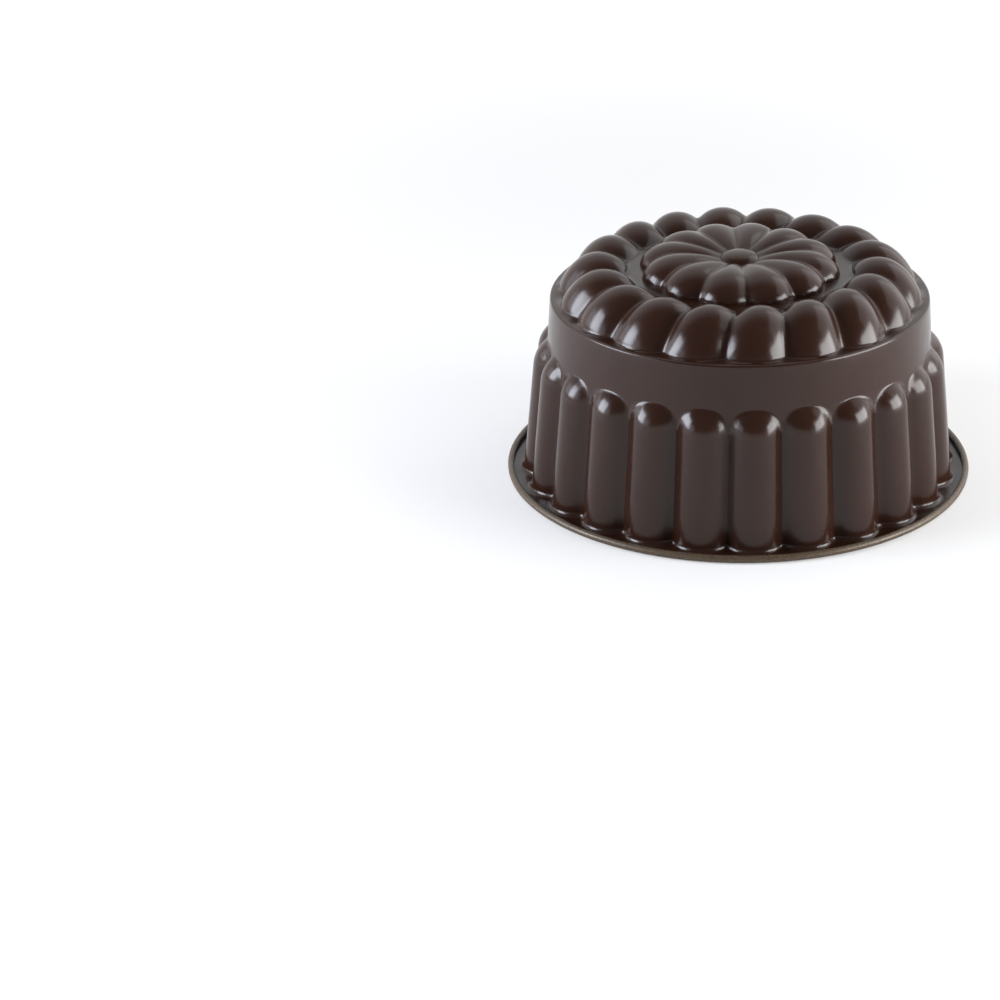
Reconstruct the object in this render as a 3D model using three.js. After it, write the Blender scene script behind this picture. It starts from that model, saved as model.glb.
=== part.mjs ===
// Bavarois mould, in millimetres, standing crown up on its rim.
// +Z is the axis through the crown; the origin is the centre of the rim's flat face.
import * as THREE from 'three';

// Rim and sheet
const rimRadius = 110;
const sheetThickness = 0.5;
const liningGap = 0.04;
const liningThickness = 0.16;
const wireRadius = 0.9;
const wireClearance = 0.1;
const curlTurn = 225;
const wallThickness = sheetThickness + liningGap + liningThickness;
const curlRadius = wireRadius + wireClearance;
const beadRadius = curlRadius + wallThickness;
const beadCentre = new THREE.Vector2(rimRadius - beadRadius, beadRadius);

// Fluted wall
const fluteCount = 24;
const lipRadius = 2.6;
const lipTurn = 84;
const lipValley = 98.4;
const lipCrest = 104.6;
const domeStart = 54.4;
const domeTop = 66.6;
const domeCrest = 97.0;
const bandFoot = 90.0;

// Band and shoulder
const bandTop = 88.7;
const shoulderRadius = 1.0;
const shoulderHeight = 87.3;

// Ring of petals on the crown
const petalCount = 18;
const petalRidge = 65.0;
const petalTop = 105.8;
const petalGroove = 101.3;
const petalOuterEnd = { crest: 85.2, valley: 81.2 };
const petalInnerEnd = { crest: 52.2, valley: 54.2 };
const petalSlope = { crest: 1.5, valley: 2.0 };
const petalSweep = 5;

// Flat ring, rosette and button
const flatRing = 99.0;
const rosetteCount = 12;
const rosetteRidge = 30;
const rosetteTop = 109.9;
const rosetteGroove = 107.8;
const rosetteOuterEnd = { crest: 47.2, valley: 43.6 };
const rosetteSlope = { crest: 1.1, valley: 1.25 };
const rosetteDip = { radius: 10.4, crest: 105.9, valley: 105.5 };
const buttonRadius = 8.9;
const buttonFoot = 105.1;
const buttonTop = 108.3;

// Points round each zone of the sheet
const rimColumns = 48;
const fluteColumns = fluteCount * 6;
const petalColumns = petalCount * 4;
const rosetteColumns = rosetteCount * 4;
const buttonColumns = 24;

const degrees = THREE.MathUtils.degToRad;
const point = (r, z) => new THREE.Vector2(r, z);

// Roundness of the ridges, and softness of the grooves between them
const flutePress = { roundness: 0.9, softness: 0.3 };
const petalPress = { roundness: 0.9, softness: 0.35 };
const rosettePress = { roundness: 0.85, softness: 0.5 };

// Height of a rounded ridge, from 1 on its crest to 0 in the groove, whose floor is rounder where it is softer.
function ridge(across, { roundness, softness }) {
  const edge = Math.sqrt(1 - roundness ** 2);
  const inside = Math.min(across, 1);
  const height = (Math.sqrt(1 - (roundness * inside) ** 2) - edge) / (1 - edge);
  return (Math.hypot(height, softness) - softness) / (Math.hypot(1, softness) - softness);
}

// Place across a repeated ridge at an angle: 0 on a crest, 1 in a groove.
function placeAcross(angle, count, shift) {
  const turns = (angle * count) / (2 * Math.PI) + shift;
  return 2 * Math.abs(turns - Math.round(turns));
}

// One level of the sheet's outside face, the same all the way round.
function plainRow(r, z, columns, normal) {
  const place = point(r, z);
  return { valley: place, crest: place, columns, normal, weight: () => 0, sweep: 0 };
}

// One level of the outside face that swings between a groove point and a crest point.
function wavyRow(valley, crest, columns, weight, normal) {
  return { valley, crest, columns, weight, normal, sweep: 0 };
}

// The edge curled round the wire, and the flat flange inside it.
function rimRows() {
  const rows = [];
  const steps = 6;
  for (let i = 0; i <= steps; i += 1) {
    const angle = degrees(curlTurn - 90 - (curlTurn * i) / steps);
    const outward = point(Math.cos(angle), Math.sin(angle));
    const place = beadCentre.clone().addScaledVector(outward, curlRadius);
    rows.push(plainRow(place.x, place.y, rimColumns, outward.clone().negate()));
  }
  return rows;
}

const fluteWeight = (angle) => ridge(placeAcross(angle, fluteCount, 0), flutePress);

// The rounded lip at the flange, the straight flutes and their dome ends.
function fluteRows() {
  const rows = [];
  for (const turn of [0, 0.5, 1]) {
    const angle = degrees(lipTurn * turn);
    const inward = lipRadius * Math.sin(angle);
    const height = wallThickness + lipRadius * (1 - Math.cos(angle));
    const normal = point(Math.sin(angle), Math.cos(angle));
    const valley = point(lipValley - inward, height);
    const crest = point(lipCrest - inward, height);
    rows.push(wavyRow(valley, crest, fluteColumns, fluteWeight, normal));
  }
  const foot = rows[rows.length - 1].valley;
  const wallRadius = (z) => THREE.MathUtils.mapLinear(z, foot.y, domeTop, foot.x, bandFoot);
  const relief = domeCrest - wallRadius(domeStart);
  for (const turn of [0, 30, 60, 90]) {
    const end = Math.sin(degrees(turn));
    const z = THREE.MathUtils.lerp(domeStart, domeTop, end);
    const weight = (angle) => ridge(Math.hypot(placeAcross(angle, fluteCount, 0), end), flutePress);
    const valley = point(wallRadius(z), z);
    const crest = point(wallRadius(z) + relief, z);
    rows.push(wavyRow(valley, crest, fluteColumns, weight, point(1, 0)));
  }
  return rows;
}

// The plain band above the flutes, its small shoulder and the ledge inside it.
function bandRows() {
  const rows = [];
  for (const turn of [0, 45, 90]) {
    const angle = degrees(turn);
    const r = bandTop - shoulderRadius + shoulderRadius * Math.cos(angle);
    const z = shoulderHeight - shoulderRadius + shoulderRadius * Math.sin(angle);
    rows.push(plainRow(r, z, rimColumns, point(Math.cos(angle), Math.sin(angle))));
  }
  return rows;
}

const petalWeight = (angle) => ridge(placeAcross(angle, petalCount, 0), petalPress);

// Point on the rise from an end to the ridge: a quarter of an ellipse where the slope is 1, leaner above 1.
function rise(end, endHeight, ridgeRadius, ridgeHeight, turn, slope) {
  const angle = degrees(turn);
  const r = ridgeRadius + (end - ridgeRadius) * Math.cos(angle);
  return point(r, endHeight + (ridgeHeight - endHeight) * Math.sin(angle) ** slope);
}

// Groove point and crest point at one turn of the rise from an end to the ridge.
function riseRow(end, endHeight, ridgeRadius, groove, top, turn, slope, columns, weight) {
  const valley = rise(end.valley, endHeight, ridgeRadius, groove, turn, slope.valley);
  const crest = rise(end.crest, endHeight, ridgeRadius, top, turn, slope.crest);
  return wavyRow(valley, crest, columns, weight);
}

// The petals: steep at the outer end, lower at the inner end on the flat ring, and swept round as they go in.
function petalRows() {
  const row = (end, endHeight, turn) => {
    const petal = riseRow(
      end, endHeight, petalRidge, petalGroove, petalTop, turn, petalSlope, petalColumns, petalWeight,
    );
    const inward = THREE.MathUtils.inverseLerp(petalOuterEnd.crest, petalInnerEnd.crest, petal.crest.x);
    petal.sweep = degrees(petalSweep) * inward;
    return petal;
  };
  const outer = [0, 22, 45, 68, 90].map((turn) => row(petalOuterEnd, shoulderHeight, turn));
  const inner = [60, 30, 0].map((turn) => row(petalInnerEnd, flatRing, turn));
  return [...outer, ...inner];
}

// The rosette has a groove where the flutes and petals have a crest.
const rosetteWeight = (angle) => ridge(placeAcross(angle, rosetteCount, 0.5), rosettePress);

// The rosette: rises from the flat ring, then dips towards the button.
function rosetteRows() {
  const row = (turn) => riseRow(
    rosetteOuterEnd, flatRing, rosetteRidge, rosetteGroove, rosetteTop, turn, rosetteSlope, rosetteColumns,
    rosetteWeight,
  );
  const rows = [0, 30, 60, 90].map(row);
  for (const share of [0.5, 1]) {
    const r = THREE.MathUtils.lerp(rosetteRidge, rosetteDip.radius, share);
    const fall = share ** 2;
    const valley = point(r, THREE.MathUtils.lerp(rosetteGroove, rosetteDip.valley, fall));
    const crest = point(r, THREE.MathUtils.lerp(rosetteTop, rosetteDip.crest, fall));
    rows.push(wavyRow(valley, crest, rosetteColumns, rosetteWeight));
  }
  return rows;
}

// The low button in the middle of the rosette, closed at its centre.
function buttonRows() {
  const rows = [];
  for (const turn of [0, 45, 90]) {
    const angle = degrees(turn);
    const columns = turn === 90 ? 1 : buttonColumns;
    const r = turn === 90 ? 0 : buttonRadius * Math.cos(angle);
    const z = THREE.MathUtils.lerp(buttonFoot, buttonTop, Math.sin(angle));
    rows.push(plainRow(r, z, columns, turn === 90 ? point(0, 1) : undefined));
  }
  return rows;
}

// Outward direction at one row, from the rows on either side of it.
function rowNormal(rows, index, side) {
  if (rows[index].normal) {
    return rows[index].normal;
  }
  const before = rows[index - 1][side];
  const after = rows[index + 1][side];
  const along = after.clone().sub(before).normalize();
  return point(along.y, -along.x);
}

// Points round the sheet at every row, at a depth below its outside face.
// The angle is counted from the front (-Y), where a flute and a petal have their crest.
function ringsAtDepth(rows, depth) {
  return rows.map((row, index) => {
    const valley = row.valley.clone().addScaledVector(rowNormal(rows, index, 'valley'), -depth);
    const crest = row.crest.clone().addScaledVector(rowNormal(rows, index, 'crest'), -depth);
    const ring = [];
    for (let j = 0; j < row.columns; j += 1) {
      const unswept = (2 * Math.PI * j) / row.columns;
      const angle = unswept + row.sweep;
      const place = valley.clone().lerp(crest, row.weight(unswept));
      ring.push(new THREE.Vector3(place.x * Math.sin(angle), -place.x * Math.cos(angle), place.y));
    }
    return ring;
  });
}

// Triangles between two neighbouring rings, which may differ in their number of points.
function stitch(first, second, firstStart, secondStart) {
  const triangles = [];
  let i = 0;
  let j = 0;
  const firstAt = (n) => firstStart + (n % first.length);
  const secondAt = (n) => secondStart + (n % second.length);
  const firstSteps = first.length > 1 ? first.length : 0;
  const secondSteps = second.length > 1 ? second.length : 0;
  while (i < firstSteps || j < secondSteps) {
    const nextFirst = (i + 1) / Math.max(firstSteps, 1);
    const nextSecond = (j + 1) / Math.max(secondSteps, 1);
    const stepFirst = j >= secondSteps || (i < firstSteps && nextFirst <= nextSecond);
    if (stepFirst) {
      triangles.push([firstAt(i), firstAt(i + 1), secondAt(j)]);
      i += 1;
    } else {
      triangles.push([firstAt(i), secondAt(j + 1), secondAt(j)]);
      j += 1;
    }
  }
  return triangles;
}

// Closed sheet between two depths below the outside face.
function sheetGeometry(rows, outerDepth, innerDepth) {
  const outside = ringsAtDepth(rows, outerDepth);
  const inside = ringsAtDepth(rows, innerDepth);
  const positions = [];
  const place = (ring) => {
    const start = positions.length / 3;
    ring.forEach((corner) => positions.push(corner.x, corner.y, corner.z));
    return start;
  };
  const outsideStarts = outside.map(place);
  const insideStarts = inside.map(place);
  const triangles = stitch(inside[0], outside[0], insideStarts[0], outsideStarts[0]);
  for (let k = 1; k < rows.length; k += 1) {
    const outer = stitch(outside[k - 1], outside[k], outsideStarts[k - 1], outsideStarts[k]);
    const inner = stitch(inside[k - 1], inside[k], insideStarts[k - 1], insideStarts[k]);
    triangles.push(...outer);
    inner.forEach((triangle) => triangles.push(triangle.reverse()));
  }
  const geometry = new THREE.BufferGeometry();
  geometry.setAttribute('position', new THREE.Float32BufferAttribute(positions, 3));
  geometry.setIndex(triangles.flat());
  geometry.computeVertexNormals();
  return geometry;
}

// Steel wire that the edge is curled round.
function wireGeometry() {
  const geometry = new THREE.TorusGeometry(beadCentre.x, wireRadius, 8, rimColumns);
  geometry.translate(0, 0, beadCentre.y);
  return geometry;
}

function namedMesh(name, geometry, colour, metalness, roughness) {
  const material = new THREE.MeshStandardMaterial({ color: colour, metalness, roughness });
  const mesh = new THREE.Mesh(geometry, material);
  mesh.name = name;
  return mesh;
}

const outsideRows = [
  ...rimRows(),
  ...fluteRows(),
  ...bandRows(),
  ...petalRows(),
  ...rosetteRows(),
  ...buttonRows(),
];
const liningDepth = sheetThickness + liningGap;
const shell = sheetGeometry(outsideRows, 0, sheetThickness);
const lining = sheetGeometry(outsideRows, liningDepth, wallThickness);

const mould = new THREE.Group();
mould.name = 'bavarois_mould';
mould.add(namedMesh('pressed_shell', shell, 0x3a2620, 0.1, 0.3));
mould.add(namedMesh('nonstick_lining', lining, 0x54453a, 0.1, 0.5));
mould.add(namedMesh('rim_wire', wireGeometry(), 0x9a9a9c, 1.0, 0.35));

export default mould;
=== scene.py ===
"""Bavarois mould turned over on a pale floor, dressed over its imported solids."""
import math
from collections import namedtuple

import bpy
from bpy.props import FloatProperty, FloatVectorProperty, IntProperty, PointerProperty
from mathutils import Matrix, Vector


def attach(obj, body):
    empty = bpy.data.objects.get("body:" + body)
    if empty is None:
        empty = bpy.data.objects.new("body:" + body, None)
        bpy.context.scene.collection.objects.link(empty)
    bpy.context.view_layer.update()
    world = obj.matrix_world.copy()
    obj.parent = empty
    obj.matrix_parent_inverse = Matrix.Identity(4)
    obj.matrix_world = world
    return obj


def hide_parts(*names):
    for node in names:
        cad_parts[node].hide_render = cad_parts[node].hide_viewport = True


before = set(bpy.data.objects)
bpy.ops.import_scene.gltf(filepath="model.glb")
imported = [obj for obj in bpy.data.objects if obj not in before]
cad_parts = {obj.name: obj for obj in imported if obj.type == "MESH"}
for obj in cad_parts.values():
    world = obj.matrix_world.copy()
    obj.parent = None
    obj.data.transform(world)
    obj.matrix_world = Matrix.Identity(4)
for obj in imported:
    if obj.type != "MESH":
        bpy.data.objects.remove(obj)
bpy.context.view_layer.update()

bl_info = {
    "name": "Bavarois mould",
    "version": (1, 0, 0),
    "blender": (4, 5, 0),
    "location": "View3D > Sidebar > Mould",
    "description": "Builds the pressed shell, the lining and the wired edge of a fluted dessert mould",
    "category": "Object",
}

MM = 0.001
QUARTER_TURN = math.pi / 2
BODY = "root"

# Form of a ring of ridges: how round their backs are, and how soft the grooves between them.
Press = namedtuple("Press", "roundness softness")
FLUTE_PRESS = Press(0.9, 0.3)
PETAL_PRESS = Press(0.9, 0.35)
LOBE_PRESS = Press(0.85, 0.5)

# Arch of a flute's dome end: 2 is an ellipse, and more is squarer.
DOME_SQUARENESS = 2.3

# Rise of a form from its end to its ridge: 1 is a quarter of an ellipse, and more is leaner.
PETAL_SLOPE = 1.5
CREASE_SLOPE = 2.0
LOBE_SLOPE = 1.1
LOBE_GROOVE_SLOPE = 1.25

# Turn of the rounding between the flange and the wall, which leans in.
LIP_TURN = math.radians(84)

# Steps up each zone of the sheet, and columns round it.
CURL_STEPS = 12
LIP_STEPS = 7
FLUTE_STEPS = 10
DOME_STEPS = 16
BAND_STEPS = 4
SHOULDER_STEPS = 4
PETAL_OUTER_STEPS = 17
PETAL_INNER_STEPS = 11
FLAT_RING_STEPS = 3
LOBE_STEPS = 12
DIP_STEPS = 7
BUTTON_STEPS = 7
COLUMNS = 432

# Distance within which points of the sheet are merged.
MERGE_DISTANCE = 0.001 * MM

# Rounds of smoothing over the pressed forms, and the angle from which an edge is shaded sharp.
EDGE_ROUNDING = 2
SHARP_ANGLE = math.radians(50)

# Pattern sizes and relief depths of the finishes, in millimetres.
CLOUD_SIZE = 35
HAZE_SIZE = 9
PEEL_SIZE = 1.8
PEEL_DEPTH = 0.05
FLAKE_SIZE = 0.9
FLAKE_DEPTH = 0.03
SCRATCH_SIZE = 0.6
SCRATCH_DEPTH = 0.02
FIBRE_SIZE = 2
FIBRE_DEPTH = 0.02

# Places of a colour mix's sockets, whose names other sockets of that node share.
MIX_SHARE = 0
MIX_FIRST = 6
MIX_SECOND = 7
MIX_RESULT = 2

# Floor, in metres, and its glow to the eye and in reflections, close to the mould and far from it.
FLOOR_RADIUS = 8
FLOOR_CORNERS = 96
FLOOR_DROP = 0.1 * MM
GLOW_START = 0.3
GLOW_END = 1.1
GLOW_NEAR = 0.3
GLOW_FAR = 0.8

# Light of the room in front of the mould and overhead, and behind it and low over the floor.
ROOM_DIM = 0.12
ROOM_PALE = 1

# Soft lamps, in metres and watts, all turned to the middle of the mould.
Softbox = namedtuple("Softbox", "name place width height watts tint")
LAMP_AIM = (0, 0, 0.05)
SOFTBOXES = (
    Softbox("left_key", (-0.88, -0.12, 0.4), 0.46, 0.46, 10, "cool_light"),
    Softbox("left_strip", (-0.9, -0.1, 0.34), 1.3, 0.35, 3, "cool_light"),
    Softbox("right_key", (0.86, -0.32, 0.28), 0.75, 0.45, 12, "plain_light"),
    Softbox("right_fill", (0.66, 0.2, 0.46), 1.0, 0.8, 3, "plain_light"),
)

# Picture in pixels, camera sensor in millimetres and the end of sight in metres.
PICTURE_WIDTH = 1000
SENSOR_WIDTH = 36
SIGHT_END = 100

# One level up the sheet's outside face: its groove point and its crest point, how far each angle
# is pressed out from one to the other, and whether its edges are rounded after pressing.
Row = namedtuple("Row", "valley crest press rounded")


def length(name, description, millimetres):
    """A size that a user may change, kept in metres."""
    return FloatProperty(
        name=name, description=description, default=millimetres * MM, unit="LENGTH", precision=5
    )


def angular(name, description, degrees):
    """An angle that a user may change, kept in radians."""
    return FloatProperty(name=name, description=description, default=math.radians(degrees), subtype="ANGLE")


def linear(hex_colour):
    """Linear red, green, blue and alpha of an sRGB hex colour."""
    channels = [int(hex_colour[i:i + 2], 16) / 255 for i in (1, 3, 5)]
    return tuple(c / 12.92 if c <= 0.04045 else ((c + 0.055) / 1.055) ** 2.4 for c in channels) + (1,)


def paint(name, description, hex_colour):
    """A colour that a user may change."""
    return FloatVectorProperty(
        name=name, description=description, default=linear(hex_colour), size=4, min=0, max=1, subtype="COLOR"
    )


class MouldSizes(bpy.types.PropertyGroup):
    """Sizes of the sheet, from the rim up to the button."""

    rim_radius: length("Rim radius", "From the axis to the outside of the bead", 110)
    sheet: length("Sheet", "Thickness of the pressed steel", 0.5)
    lining_gap: length("Lining gap", "Room between the steel and the lining", 0.04)
    lining: length("Lining", "Thickness of the lining", 0.16)
    curl_radius: length("Curl radius", "Inside radius of the edge curled round the wire", 1.0)
    curl_turn: angular("Curl turn", "How far the edge is curled", 225)
    flutes: IntProperty(name="Flutes", description="Flutes round the wall", default=24)
    lip_radius: length("Lip radius", "Rounding between the flange and the wall", 2.6)
    lip_valley: length("Lip in a groove", "Where the rounding starts between two flutes", 98.4)
    lip_crest: length("Lip on a flute", "Where the rounding starts in front of a flute", 104.6)
    dome_start: length("Dome start", "Height at which a flute starts to close", 54.4)
    dome_top: length("Dome top", "Height at which a flute has run out", 66.6)
    dome_crest: length("Dome crest", "Radius of a flute where it starts to close", 97.0)
    band_foot: length("Band foot", "Radius of the plain band at the flutes' tops", 90.0)
    band_top: length("Band top", "Radius of the plain band at the shoulder", 88.7)
    shoulder_radius: length("Shoulder radius", "Rounding between the band and the ledge", 1.0)
    shoulder_height: length("Shoulder height", "Height of the ledge that the petals rise from", 87.3)
    petals: IntProperty(name="Petals", description="Petals round the crown", default=18)
    petal_ridge: length("Petal ridge", "Radius of the highest line of the petals", 65.0)
    petal_top: length("Petal top", "Height of the petals", 105.8)
    petal_groove: length("Petal groove", "Height of the creases between the petals", 101.3)
    petal_outer_crest: length("Petal outer end", "Radius of a petal's outer end", 85.2)
    petal_outer_valley: length("Crease outer end", "Radius of a crease's outer end", 81.2)
    petal_inner_crest: length("Petal inner end", "Radius of a petal's inner end", 52.2)
    petal_inner_valley: length("Crease inner end", "Radius of a crease's inner end", 54.2)
    petal_sweep: angular("Petal sweep", "Turn of a petal from its outer to its inner end", 5)
    flat_ring: length("Flat ring", "Height of the ring between the petals and the rosette", 99.0)
    lobes: IntProperty(name="Lobes", description="Lobes of the rosette", default=12)
    lobe_ridge: length("Lobe ridge", "Radius of the highest line of the rosette", 30)
    lobe_top: length("Lobe top", "Height of the rosette", 109.9)
    lobe_groove: length("Lobe groove", "Height of the grooves between the lobes", 107.8)
    lobe_outer_crest: length("Lobe outer end", "Radius of a lobe's outer end", 47.2)
    lobe_outer_valley: length("Groove outer end", "Radius of a groove's outer end", 43.6)
    dip_radius: length("Dip radius", "Where the rosette meets the button", 10.4)
    dip_crest: length("Dip on a lobe", "Height of a lobe beside the button", 105.9)
    dip_valley: length("Dip in a groove", "Height of a groove beside the button", 105.5)
    button_radius: length("Button radius", "Radius of the button", 8.9)
    button_foot: length("Button foot", "Height of the button's edge", 105.1)
    button_top: length("Button top", "Height of the button's middle", 108.3)


class MouldColours(bpy.types.PropertyGroup):
    """Colours of the finishes and of the stage."""

    coat_deep: paint("Coat, thick", "Chocolate coat where it lies thick", "#26140d")
    coat_thin: paint("Coat, thin", "Chocolate coat where it lies thin", "#311d15")
    lining_deep: paint("Lining, dark", "Bronze lining between the flakes", "#403326")
    lining_light: paint("Lining, light", "Bronze lining on the flakes", "#5d4e3d")
    wire: paint("Wire", "Bare drawn steel", "#a5a5a8")
    floor: paint("Floor", "Pale floor", "#c8c8c8")
    cool_light: paint("Cool light", "Softboxes on the left", "#eef3ff")
    plain_light: paint("Plain light", "Softboxes on the right, and the room", "#ffffff")


class MouldView(bpy.types.PropertyGroup):
    """Camera of the photograph."""

    azimuth: angular("Azimuth", "Turn of the camera round the mould", -5.1)
    elevation: angular("Elevation", "Height angle of the camera", 24.5)
    roll: angular("Roll", "Tilt of the picture", 0.7)
    distance: length("Distance", "From the camera to the middle of the rim", 1478)
    scale: FloatProperty(
        name="Scale", description="Pixels to a millimetre at the rim's middle", default=2.075
    )
    across: FloatProperty(
        name="Across", description="Pixels from the left to the rim's middle", default=737, subtype="PIXEL"
    )
    down: FloatProperty(
        name="Down", description="Pixels from the top to the rim's middle", default=462.6, subtype="PIXEL"
    )


def blend(start, end, share):
    """Value part of the way from one to another."""
    return start + (end - start) * share


def shares(steps, first=0, last=1):
    """Even steps from one value to another, both included."""
    return [blend(first, last, i / steps) for i in range(steps + 1)]


def ridge(across, press):
    """Height of a rounded ridge: 1 on its crest, 0 in the groove, which is rounder in a softer press."""
    edge = math.sqrt(1 - press.roundness ** 2)
    inside = min(across, 1)
    height = (math.sqrt(1 - (press.roundness * inside) ** 2) - edge) / (1 - edge)
    soft = press.softness
    return (math.hypot(height, soft) - soft) / (math.hypot(1, soft) - soft)


def place_across(angle, count, shift=0):
    """Place across a repeated ridge at an angle: 0 on a crest, 1 in a groove."""
    turns = angle * count / math.tau + shift
    return 2 * abs(turns - round(turns))


def rise(end, end_height, ridge_radius, ridge_height, turn, slope):
    """Point on the rise from an end to the ridge, at a turn from 0 at the end to a quarter at the ridge."""
    r = ridge_radius + (end - ridge_radius) * math.cos(turn)
    z = end_height + (ridge_height - end_height) * math.sin(turn) ** slope
    return r, z


def plain(r, z, rounded=True):
    """A level that is the same all the way round."""
    return Row((r, z), (r, z), None, rounded)


def wall_thickness(sizes):
    """Steel, gap and lining together."""
    return sizes.sheet + sizes.lining_gap + sizes.lining


def rim_rows(sizes):
    """The edge curled round the wire, ending where it meets the flange."""
    bead = sizes.curl_radius + wall_thickness(sizes)
    centre = sizes.rim_radius - bead
    rows = []
    for angle in shares(CURL_STEPS, sizes.curl_turn - QUARTER_TURN, -QUARTER_TURN):
        r = centre + sizes.curl_radius * math.cos(angle)
        z = bead + sizes.curl_radius * math.sin(angle)
        rows.append(plain(r, z, rounded=False))
    return rows


def flute_rows(sizes):
    """The rounded lip at the flange, the straight flutes and their dome ends."""
    def press(angle):
        return ridge(place_across(angle, sizes.flutes), FLUTE_PRESS)

    def dome(end):
        def press_dome(angle):
            across = place_across(angle, sizes.flutes)
            outward = (across ** DOME_SQUARENESS + end ** DOME_SQUARENESS) ** (1 / DOME_SQUARENESS)
            return ridge(outward, FLUTE_PRESS)
        return press_dome

    rows = []
    for turn in shares(LIP_STEPS, 0, LIP_TURN):
        inward = sizes.lip_radius * math.sin(turn)
        z = wall_thickness(sizes) + sizes.lip_radius * (1 - math.cos(turn))
        rows.append(Row((sizes.lip_valley - inward, z), (sizes.lip_crest - inward, z), press, True))
    foot_r, foot_z = rows[-1].valley
    crest_r = rows[-1].crest[0]

    def groove(z):
        return blend(foot_r, sizes.band_foot, (z - foot_z) / (sizes.dome_top - foot_z))

    for share in shares(FLUTE_STEPS)[1:-1]:
        z = blend(foot_z, sizes.dome_start, share)
        rows.append(Row((groove(z), z), (blend(crest_r, sizes.dome_crest, share), z), press, True))
    relief = sizes.dome_crest - groove(sizes.dome_start)
    for turn in shares(DOME_STEPS, 0, QUARTER_TURN):
        end = math.sin(turn)
        z = blend(sizes.dome_start, sizes.dome_top, end)
        rows.append(Row((groove(z), z), (groove(z) + relief, z), dome(end), True))
    return rows


def band_rows(sizes):
    """The plain band above the flutes and its small shoulder, up to the ledge that the petals stand on."""
    top = sizes.shoulder_height - sizes.shoulder_radius
    rows = []
    for share in shares(BAND_STEPS)[1:-1]:
        rows.append(plain(blend(sizes.band_foot, sizes.band_top, share), blend(sizes.dome_top, top, share)))
    for turn in shares(SHOULDER_STEPS, 0, QUARTER_TURN):
        r = sizes.band_top - sizes.shoulder_radius * (1 - math.cos(turn))
        rows.append(plain(r, top + sizes.shoulder_radius * math.sin(turn)))
    return rows


def petal_rows(sizes):
    """The petals: steep outside, lower inside on the flat ring, and swept round as they go in."""
    def row(valley_end, crest_end, foot, turn):
        valley = rise(valley_end, foot, sizes.petal_ridge, sizes.petal_groove, turn, CREASE_SLOPE)
        crest = rise(crest_end, foot, sizes.petal_ridge, sizes.petal_top, turn, PETAL_SLOPE)
        inward = (sizes.petal_outer_crest - crest[0]) / (sizes.petal_outer_crest - sizes.petal_inner_crest)
        sweep = sizes.petal_sweep * inward

        def press(angle):
            return ridge(place_across(angle - sweep, sizes.petals), PETAL_PRESS)
        return Row(valley, crest, press, True)

    rows = []
    for turn in shares(PETAL_OUTER_STEPS, 0, QUARTER_TURN):
        rows.append(row(sizes.petal_outer_valley, sizes.petal_outer_crest, sizes.shoulder_height, turn))
    for turn in shares(PETAL_INNER_STEPS, QUARTER_TURN, 0)[1:]:
        rows.append(row(sizes.petal_inner_valley, sizes.petal_inner_crest, sizes.flat_ring, turn))
    return rows


def rosette_rows(sizes):
    """The flat ring, and the rosette that rises from it and then dips towards the button."""
    ridge_r = sizes.lobe_ridge
    ring_z = sizes.flat_ring

    # A groove of the rosette faces the front, where a flute and a petal's outer end have their crests.
    def press(angle):
        return ridge(place_across(angle, sizes.lobes, shift=0.5), LOBE_PRESS)

    rows = []
    for share in shares(FLAT_RING_STEPS)[1:-1]:
        r = blend(sizes.petal_inner_crest, sizes.lobe_outer_crest, share)
        rows.append(plain(r, ring_z, rounded=False))
    for turn in shares(LOBE_STEPS, 0, QUARTER_TURN):
        valley = rise(sizes.lobe_outer_valley, ring_z, ridge_r, sizes.lobe_groove, turn, LOBE_GROOVE_SLOPE)
        crest = rise(sizes.lobe_outer_crest, ring_z, ridge_r, sizes.lobe_top, turn, LOBE_SLOPE)
        # The foot of the lobes isn't rounded, so it stays sharp on the flat ring.
        rows.append(Row(valley, crest, press, turn > 0))
    for share in shares(DIP_STEPS)[1:]:
        r = blend(ridge_r, sizes.dip_radius, share)
        valley = blend(sizes.lobe_groove, sizes.dip_valley, share ** 2)
        crest = blend(sizes.lobe_top, sizes.dip_crest, share ** 2)
        rows.append(Row((r, valley), (r, crest), press, True))
    return rows


def button_rows(sizes):
    """The low button in the middle of the rosette, closed at its centre."""
    rows = []
    for turn in shares(BUTTON_STEPS, 0, QUARTER_TURN):
        r = max(sizes.button_radius * math.cos(turn), 0)
        z = blend(sizes.button_foot, sizes.button_top, math.sin(turn))
        rows.append(plain(r, z))
    return rows


def sheet_rows(sizes):
    """Every level of the sheet's outside face, from the curled edge to the button."""
    zones = (rim_rows, flute_rows, band_rows, petal_rows, rosette_rows, button_rows)
    return [row for zone in zones for row in zone(sizes)]


def on_profile(place):
    """Point of a profile on the front of the mould."""
    r, z = place
    return Vector((0, -r, z))


def edit(mode):
    """Goes into or out of edit mode, with everything selected there."""
    bpy.ops.object.mode_set(mode=mode)
    if mode == "EDIT":
        bpy.ops.mesh.select_all(action="SELECT")


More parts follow.
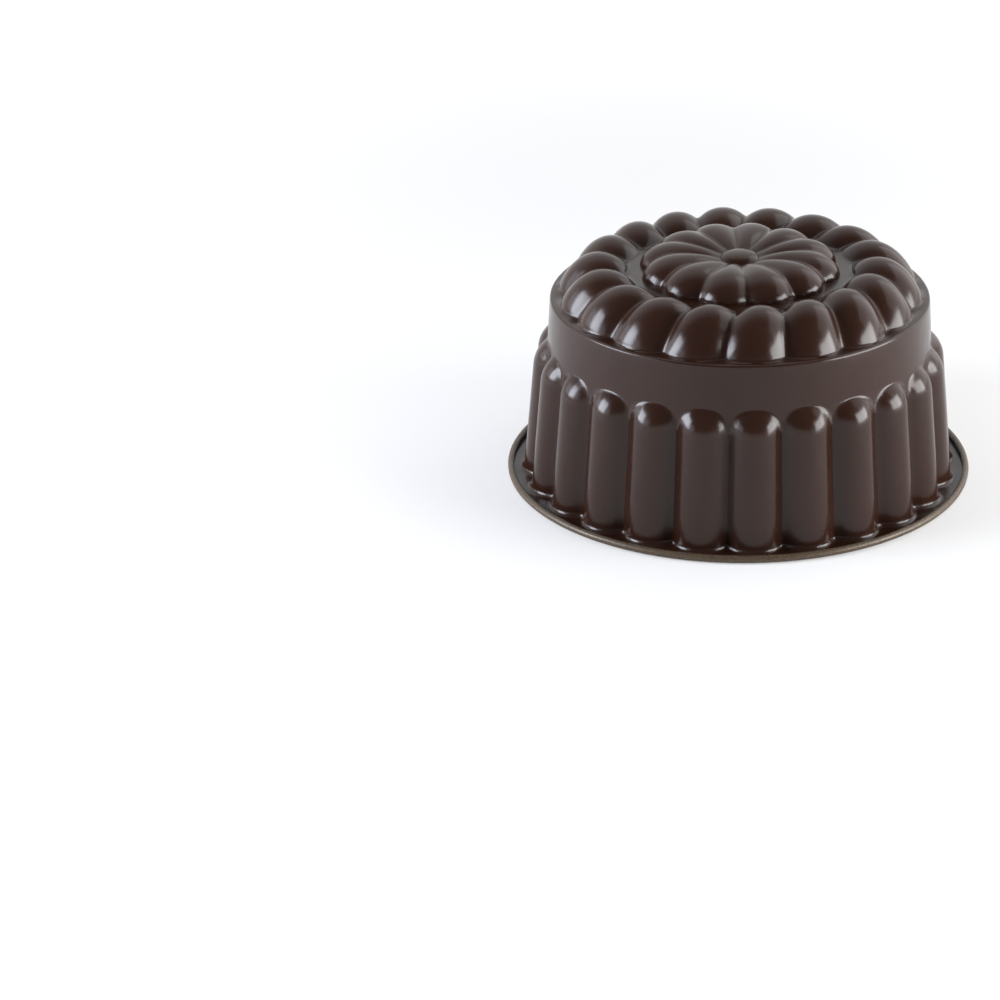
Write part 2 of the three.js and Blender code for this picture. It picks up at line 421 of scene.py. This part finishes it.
def turned_blank(name, rows):
    """The groove profile drawn as a chain of edges and spun round the axis."""
    bpy.ops.object.select_all(action="DESELECT")
    bpy.ops.mesh.primitive_plane_add(size=MM)
    blank = bpy.context.object
    blank.name = name
    blank.data.name = name
    edit("EDIT")
    bpy.ops.mesh.merge(type="CENTER")
    bpy.ops.transform.translate(value=on_profile(rows[0].valley))
    for row, following in zip(rows, rows[1:]):
        step = on_profile(following.valley) - on_profile(row.valley)
        bpy.ops.mesh.extrude_region_move(TRANSFORM_OT_translate={"value": step})
    edit("OBJECT")
    # Each point that the spin copies keeps the level of the point that it came from.
    level = blank.data.attributes.new("level", "INT", "POINT")
    level.data.foreach_set("value", range(len(rows)))
    edit("EDIT")
    bpy.ops.mesh.spin(steps=COLUMNS, angle=math.tau, center=(0, 0, 0), axis=(0, 0, 1))
    edit("OBJECT")
    return blank


def press_pattern(blank, rows):
    """Moves each point of the blank out from its groove to its place between groove and crest."""
    levels = [0] * len(blank.data.vertices)
    blank.data.attributes["level"].data.foreach_get("value", levels)
    rounded = []
    for vertex, level in zip(blank.data.vertices, levels):
        row = rows[level]
        if row.rounded:
            rounded.append(vertex.index)
        if row.press is None:
            continue
        angle = math.atan2(vertex.co.x, -vertex.co.y)
        share = row.press(angle)
        r = blend(row.valley[0], row.crest[0], share)
        z = blend(row.valley[1], row.crest[1], share)
        vertex.co = (r * math.sin(angle), -r * math.cos(angle), z)
    blank.vertex_groups.new(name="pressed").add(rounded, 1, "REPLACE")
    blank.data.attributes.remove(blank.data.attributes["level"])
    edit("EDIT")
    bpy.ops.mesh.remove_doubles(threshold=MERGE_DISTANCE)
    bpy.ops.mesh.normals_make_consistent(inside=False)
    edit("OBJECT")
    crown = max(blank.data.polygons, key=lambda face: face.center.z)
    if crown.normal.z < 0:
        edit("EDIT")
        bpy.ops.mesh.flip_normals()
        edit("OBJECT")


def modify(piece, kind, **settings):
    """Adds one modifier with its settings and applies it."""
    bpy.ops.object.modifier_add(type=kind)
    modifier = piece.modifiers[-1]
    for option, setting in settings.items():
        setattr(modifier, option, setting)
    bpy.ops.object.modifier_apply(modifier=modifier.name)


def pressed_sheet(name, depth, thickness):
    """A closed sheet with all of the mould's forms, at a depth below its outside face."""
    rows = sheet_rows(bpy.context.scene.mould_sizes)
    piece = turned_blank(name, rows)
    press_pattern(piece, rows)
    modify(piece, "SMOOTH", factor=0.5, iterations=EDGE_ROUNDING, vertex_group="pressed")
    if depth:
        modify(piece, "DISPLACE", direction="NORMAL", mid_level=0, strength=-depth)
    modify(piece, "SOLIDIFY", thickness=thickness, offset=-1)
    piece.vertex_groups.clear()
    bpy.ops.object.shade_smooth_by_angle(angle=SHARP_ANGLE)
    return piece


def add(tree, kind, values=None, links=None, **settings):
    """Adds one node, with its options, input values and links."""
    node = tree.nodes.new(kind)
    for option, setting in settings.items():
        setattr(node, option, setting)
    for socket, value in (values or {}).items():
        node.inputs[socket].default_value = value
    for socket, source in (links or {}).items():
        tree.links.new(source, node.inputs[socket])
    return node


def new_finish(name):
    """An empty material and its shader."""
    material = bpy.data.materials.new(name)
    material.use_nodes = True
    tree = material.node_tree
    tree.nodes.clear()
    shader = add(tree, "ShaderNodeBsdfPrincipled")
    add(tree, "ShaderNodeOutputMaterial", links={"Surface": shader.outputs["BSDF"]})
    return material, tree, shader


def per_metre(millimetres):
    """Noise scale that gives patches of a size."""
    return 1 / (millimetres * MM)


def gloss_enamel(colours):
    """Baked silicone enamel, sprayed: deep gloss, soft cloudiness and a faint orange peel."""
    material, tree, shader = new_finish("gloss_chocolate_enamel")
    place = add(tree, "ShaderNodeTexCoord").outputs["Object"]
    cloud = add(tree, "ShaderNodeTexNoise", {"Scale": per_metre(CLOUD_SIZE), "Detail": 3}, {"Vector": place})
    tint = add(
        tree, "ShaderNodeMix", {MIX_FIRST: colours.coat_deep, MIX_SECOND: colours.coat_thin},
        {MIX_SHARE: cloud.outputs["Fac"]}, data_type="RGBA",
    )
    haze = add(tree, "ShaderNodeTexNoise", {"Scale": per_metre(HAZE_SIZE), "Detail": 4}, {"Vector": place})
    dull = add(
        tree, "ShaderNodeMapRange", {"From Min": 0.3, "From Max": 0.7, "To Min": 0.17, "To Max": 0.25},
        {"Value": haze.outputs["Fac"]},
    )
    peel = add(tree, "ShaderNodeTexNoise", {"Scale": per_metre(PEEL_SIZE), "Detail": 2}, {"Vector": place})
    bump = add(
        tree, "ShaderNodeBump", {"Strength": 0.12, "Distance": PEEL_DEPTH * MM},
        {"Height": peel.outputs["Fac"]},
    )
    tree.links.new(tint.outputs[MIX_RESULT], shader.inputs["Base Color"])
    tree.links.new(dull.outputs["Result"], shader.inputs["Roughness"])
    tree.links.new(bump.outputs["Normal"], shader.inputs["Normal"])
    shader.inputs["IOR"].default_value = 1.4
    return material


def satin_lining(colours):
    """Baked non-stick film with bronze flakes: satin, fine-grained, a little lighter on each flake."""
    # The flakes are drawn coarser than real ones, which are too fine to show.
    material, tree, shader = new_finish("satin_bronze_nonstick")
    place = add(tree, "ShaderNodeTexCoord").outputs["Object"]
    flakes = add(tree, "ShaderNodeTexNoise", {"Scale": per_metre(FLAKE_SIZE), "Detail": 3}, {"Vector": place})
    sharp = add(
        tree, "ShaderNodeMapRange", {"From Min": 0.35, "From Max": 0.7}, {"Value": flakes.outputs["Fac"]}
    )
    tint = add(
        tree, "ShaderNodeMix", {MIX_FIRST: colours.lining_deep, MIX_SECOND: colours.lining_light},
        {MIX_SHARE: sharp.outputs["Result"]}, data_type="RGBA",
    )
    dull = add(
        tree, "ShaderNodeMapRange", {"To Min": 0.46, "To Max": 0.36}, {"Value": sharp.outputs["Result"]}
    )
    bump = add(
        tree, "ShaderNodeBump", {"Strength": 0.15, "Distance": FLAKE_DEPTH * MM},
        {"Height": flakes.outputs["Fac"]},
    )
    tree.links.new(tint.outputs[MIX_RESULT], shader.inputs["Base Color"])
    tree.links.new(dull.outputs["Result"], shader.inputs["Roughness"])
    tree.links.new(bump.outputs["Normal"], shader.inputs["Normal"])
    shader.inputs["Metallic"].default_value = 0.15
    return material


def drawn_steel(colours):
    """Bare drawn steel wire: grey metal, dulled unevenly by fine scratches from the die."""
    # The scratches are drawn coarser than real ones, which are too fine to show.
    material, tree, shader = new_finish("drawn_steel_wire")
    place = add(tree, "ShaderNodeTexCoord").outputs["Object"]
    scratch = add(
        tree, "ShaderNodeTexNoise", {"Scale": per_metre(SCRATCH_SIZE), "Detail": 4}, {"Vector": place}
    )
    dull = add(
        tree, "ShaderNodeMapRange", {"To Min": 0.25, "To Max": 0.5}, {"Value": scratch.outputs["Fac"]}
    )
    bump = add(
        tree, "ShaderNodeBump", {"Strength": 0.2, "Distance": SCRATCH_DEPTH * MM},
        {"Height": scratch.outputs["Fac"]},
    )
    tree.links.new(dull.outputs["Result"], shader.inputs["Roughness"])
    tree.links.new(bump.outputs["Normal"], shader.inputs["Normal"])
    shader.inputs["Base Color"].default_value = colours.wire
    shader.inputs["Metallic"].default_value = 1
    return material


def pale_floor(colours):
    """Matt studio paper, which looks paler to the eye and in reflections the further it is from the mould."""
    # The fibres are drawn as clumps, because real ones are too fine to show.
    material, tree, shader = new_finish("matt_studio_paper")
    place = add(tree, "ShaderNodeTexCoord").outputs["Object"]
    fibre = add(tree, "ShaderNodeTexNoise", {"Scale": per_metre(FIBRE_SIZE), "Detail": 3}, {"Vector": place})
    bump = add(
        tree, "ShaderNodeBump", {"Strength": 0.03, "Distance": FIBRE_DEPTH * MM},
        {"Height": fibre.outputs["Fac"]},
    )
    tree.links.new(bump.outputs["Normal"], shader.inputs["Normal"])
    shader.inputs["Base Color"].default_value = colours.floor
    shader.inputs["Roughness"].default_value = 1
    shader.inputs["Specular IOR Level"].default_value = 0
    path = add(tree, "ShaderNodeLightPath")
    seen = path.outputs["Is Camera Ray"]
    for ray in ("Is Glossy Ray", "Is Transmission Ray"):
        either = add(tree, "ShaderNodeMath", {}, {0: seen, 1: path.outputs[ray]}, operation="MAXIMUM")
        seen = either.outputs[0]
    away = add(tree, "ShaderNodeVectorMath", {}, {0: place}, operation="LENGTH")
    lift = add(
        tree, "ShaderNodeMapRange",
        {"From Min": GLOW_START, "From Max": GLOW_END, "To Min": GLOW_NEAR, "To Max": GLOW_FAR},
        {"Value": away.outputs["Value"]}, interpolation_type="SMOOTHSTEP",
    )
    glow = add(tree, "ShaderNodeMath", {}, {0: seen, 1: lift.outputs["Result"]}, operation="MULTIPLY")
    tree.links.new(glow.outputs[0], shader.inputs["Emission Strength"])
    return material


def hang_softbox(softbox, colour):
    """A soft lamp that looks at the middle of the mould."""
    bpy.ops.object.light_add(type="AREA", location=softbox.place)
    lamp = bpy.context.object
    lamp.name = softbox.name
    lamp.data.name = softbox.name
    lamp.data.shape = "RECTANGLE"
    lamp.data.size = softbox.width
    lamp.data.size_y = softbox.height
    lamp.data.energy = softbox.watts
    lamp.data.color = colour[:3]
    aim = Vector(LAMP_AIM) - Vector(softbox.place)
    lamp.rotation_euler = aim.to_track_quat("-Z", "Y").to_euler()


def studio_room(colours):
    """A room that is pale behind the mould and low over the floor, and dim in front of it and overhead."""
    world = bpy.data.worlds.new("studio_room")
    world.use_nodes = True
    tree = world.node_tree
    tree.nodes.clear()
    aim = add(tree, "ShaderNodeSeparateXYZ", links={0: add(tree, "ShaderNodeTexCoord").outputs["Generated"]})
    level = add(
        tree, "ShaderNodeMapRange",
        {"From Min": -0.1, "From Max": 0.65, "To Min": ROOM_DIM, "To Max": ROOM_PALE},
        {"Value": aim.outputs["Y"]}, interpolation_type="SMOOTHSTEP",
    )
    skirting = add(
        tree, "ShaderNodeMapRange", {"From Min": 0.1, "From Max": 0.3, "To Min": ROOM_PALE, "To Max": 0},
        {"Value": aim.outputs["Z"]}, interpolation_type="SMOOTHSTEP",
    )
    strength = add(
        tree, "ShaderNodeMath", {}, {0: level.outputs["Result"], 1: skirting.outputs["Result"]},
        operation="MAXIMUM",
    )
    light = add(
        tree, "ShaderNodeBackground", {"Color": colours.plain_light}, {"Strength": strength.outputs[0]}
    )
    add(tree, "ShaderNodeOutputWorld", links={"Surface": light.outputs["Background"]})
    bpy.context.scene.world = world


def photograph_camera(view):
    """Camera with the photograph's height, distance, tilt and framing, and no shift."""
    side = view.distance * math.cos(view.elevation)
    place = Vector((
        side * math.sin(view.azimuth),
        -side * math.cos(view.azimuth),
        view.distance * math.sin(view.elevation),
    ))
    bpy.ops.object.camera_add()
    camera = bpy.context.object
    camera.name = "photograph_camera"
    focal_pixels = view.scale * view.distance / MM
    camera.data.sensor_width = SENSOR_WIDTH
    camera.data.lens = focal_pixels * SENSOR_WIDTH / PICTURE_WIDTH
    camera.data.clip_end = SIGHT_END
    half = PICTURE_WIDTH / 2
    seen = Vector((view.across - half, half - view.down, -focal_pixels))
    facing = (-place).to_track_quat("-Z", "Y").to_matrix().to_4x4()
    off_centre = seen.rotation_difference(Vector((0, 0, -1))).to_matrix().to_4x4()
    roll = Matrix.Rotation(view.roll, 4, "Z")
    camera.matrix_world = Matrix.Translation(place) @ facing @ roll @ off_centre
    bpy.context.scene.camera = camera


class MOULD_OT_pressed_shell(bpy.types.Operator):
    """Builds the pressed steel shell in its gloss coat"""

    bl_idname = "mould.pressed_shell"
    bl_label = "Pressed shell"

    def execute(self, context):
        sizes = context.scene.mould_sizes
        shell = pressed_sheet("fluted_shell", 0, sizes.sheet)
        shell.data.materials.append(gloss_enamel(context.scene.mould_colours))
        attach(shell, BODY)
        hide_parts("pressed_shell")
        return {"FINISHED"}


class MOULD_OT_lining(bpy.types.Operator):
    """Builds the non-stick lining, which goes over the flange and round the curl"""

    bl_idname = "mould.lining"
    bl_label = "Non-stick lining"

    def execute(self, context):
        sizes = context.scene.mould_sizes
        lining = pressed_sheet("food_side_lining", sizes.sheet + sizes.lining_gap, sizes.lining)
        lining.data.materials.append(satin_lining(context.scene.mould_colours))
        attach(lining, BODY)
        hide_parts("nonstick_lining")
        return {"FINISHED"}


class MOULD_OT_rim_wire(bpy.types.Operator):
    """Gives the wire inside the curl its bare steel"""

    bl_idname = "mould.rim_wire"
    bl_label = "Rim wire"

    def execute(self, context):
        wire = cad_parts["rim_wire"]
        wire.data.materials.clear()
        wire.data.materials.append(drawn_steel(context.scene.mould_colours))
        return {"FINISHED"}


class MOULD_OT_stage(bpy.types.Operator):
    """Sets up the pale floor, the soft lamps, the room and the photograph's camera"""

    bl_idname = "mould.stage"
    bl_label = "Stage"

    def execute(self, context):
        colours = context.scene.mould_colours
        bpy.ops.object.select_all(action="DESELECT")
        bpy.ops.mesh.primitive_circle_add(
            vertices=FLOOR_CORNERS, radius=FLOOR_RADIUS, fill_type="NGON", location=(0, 0, -FLOOR_DROP)
        )
        floor = bpy.context.object
        floor.name = "studio_floor"
        floor.data.materials.append(pale_floor(colours))
        for softbox in SOFTBOXES:
            hang_softbox(softbox, getattr(colours, softbox.tint))
        studio_room(colours)
        photograph_camera(context.scene.mould_view)
        context.scene.view_settings.view_transform = "Standard"
        return {"FINISHED"}


class MOULD_PT_pieces(bpy.types.Panel):
    """Lists the mould's pieces, sizes and colours"""

    bl_idname = "MOULD_PT_pieces"
    bl_label = "Bavarois mould"
    bl_space_type = "VIEW_3D"
    bl_region_type = "UI"
    bl_category = "Mould"

    def draw(self, context):
        for operator in OPERATORS:
            self.layout.operator(operator.bl_idname)
        for group in (context.scene.mould_sizes, context.scene.mould_colours, context.scene.mould_view):
            box = self.layout.box()
            for name in group.__annotations__:
                box.prop(group, name)


OPERATORS = (MOULD_OT_pressed_shell, MOULD_OT_lining, MOULD_OT_rim_wire, MOULD_OT_stage)
CLASSES = (MouldSizes, MouldColours, MouldView, *OPERATORS, MOULD_PT_pieces)


def register():
    for cls in CLASSES:
        bpy.utils.register_class(cls)
    bpy.types.Scene.mould_sizes = PointerProperty(type=MouldSizes)
    bpy.types.Scene.mould_colours = PointerProperty(type=MouldColours)
    bpy.types.Scene.mould_view = PointerProperty(type=MouldView)


def unregister():
    del bpy.types.Scene.mould_view
    del bpy.types.Scene.mould_colours
    del bpy.types.Scene.mould_sizes
    for cls in reversed(CLASSES):
        bpy.utils.unregister_class(cls)


def main():
    register()
    bpy.ops.mould.pressed_shell()
    bpy.ops.mould.lining()
    bpy.ops.mould.rim_wire()
    bpy.ops.mould.stage()


if __name__ == "__main__":
    main()
